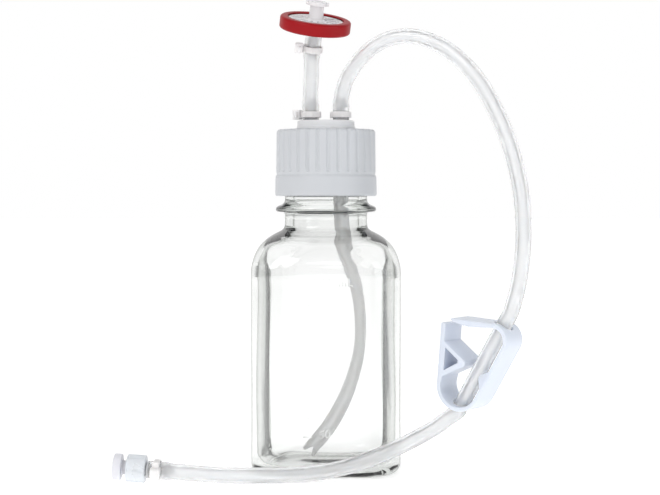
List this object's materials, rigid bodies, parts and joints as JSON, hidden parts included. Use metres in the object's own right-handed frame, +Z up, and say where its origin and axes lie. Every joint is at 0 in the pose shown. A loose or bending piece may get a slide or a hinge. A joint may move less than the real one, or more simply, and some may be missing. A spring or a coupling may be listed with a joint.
{
  "type": "vented dispensing bottle",
  "caption": "Square clear glass bottle with a ribbed screw closure, a vent filter, a dip tube and a silicone dispensing hose with pinch clamp and luer end.",
  "frame": {"origin": "centre of the bottle's base, on the surface that it stands on", "axes": "+Z up along the bottle's axis; the graduated front panel faces -Y; the dispensing hose leaves towards +X"},
  "size_m": [0.1671, 0.085, 0.1976],
  "materials": {
    "glass": "clear polished soda-lime glass",
    "collar": "moulded white polypropylene",
    "insert": "natural translucent polypropylene",
    "gasket": "white silicone",
    "dip_tube": "translucent silicone",
    "silicone": "clear silicone",
    "tie": "natural nylon",
    "housing": "clear moulded polypropylene",
    "membrane": "white membrane",
    "ring": "red overmoulded polypropylene",
    "clamp": "bluish white acetal",
    "fitting": "natural translucent polypropylene",
    "lock": "natural translucent polypropylene",
    "cap": "natural translucent polypropylene"
  },
  "bodies": {
    "bottle": {"bottle": "glass"},
    "collar": {"screw_collar": "collar"},
    "closure": {"port_insert": "insert", "sealing_gasket": "gasket", "dip_tube": "dip_tube", "vent_tube": "silicone", "vent_port_tie": "tie", "dispensing_port_tie": "tie", "filter_tie": "tie", "filter_outlet_housing": "housing", "filter_membrane": "membrane", "filter_inlet_housing": "housing", "filter_ring": "ring", "dispensing_tube_upper": "silicone", "dispensing_tube_pinch": "silicone", "dispensing_tube_lower": "silicone", "outlet_tie": "tie", "luer_fitting": "fitting"},
    "clamp": {"clamp_base": "clamp"},
    "clamp_arm": {"clamp_arm": "clamp"},
    "luer_lock": {"luer_lock_collar": "lock"},
    "luer_cap": {"luer_cap": "cap"}
  },
  "joints": [
    {"name": "closure_lift", "type": "slide", "parent": "bottle", "child": "closure", "axis": [0, 0, 1], "range_m": [0, 0.00635]},
    {"name": "collar_turn", "type": "hinge", "parent": "closure", "child": "collar", "pos_m": [0, 0, 0.13], "axis": [0, 0, 1], "range_deg": [0, 540]},
    {"name": "clamp_turn", "type": "hinge", "parent": "closure", "child": "clamp", "pos_m": [0.0582, -0.0371, 0.0384], "axis": [0.417, -0.2813, 0.8643], "range_deg": [-60, 60]},
    {"name": "clamp_pinch", "type": "hinge", "parent": "clamp", "child": "clamp_arm", "pos_m": [0.05013, -0.03166, 0.03481], "axis": [0.5592, 0.829, 0], "range_deg": [0, 14], "stiffness_Nm_per_rad": 0.3, "deforming": ["dispensing_tube_pinch"]},
    {"name": "luer_lock_turn", "type": "hinge", "parent": "closure", "child": "luer_lock", "pos_m": [-0.0723, -0.038, 0.0057], "axis": [-0.9961, 0.0398, 0.0784], "range_deg": [0, 180]},
    {"name": "luer_cap_slide", "type": "slide", "parent": "closure", "child": "luer_cap", "axis": [-0.9961, 0.0398, 0.0784], "range_m": [0, 0.0025]}
  ],
  "couplings": [
    {"joint": "collar_turn", "follows": "closure_lift", "rad_per_m": 1484.2},
    {"joint": "luer_lock_turn", "follows": "luer_cap_slide", "rad_per_m": 1256.6}
  ]
}
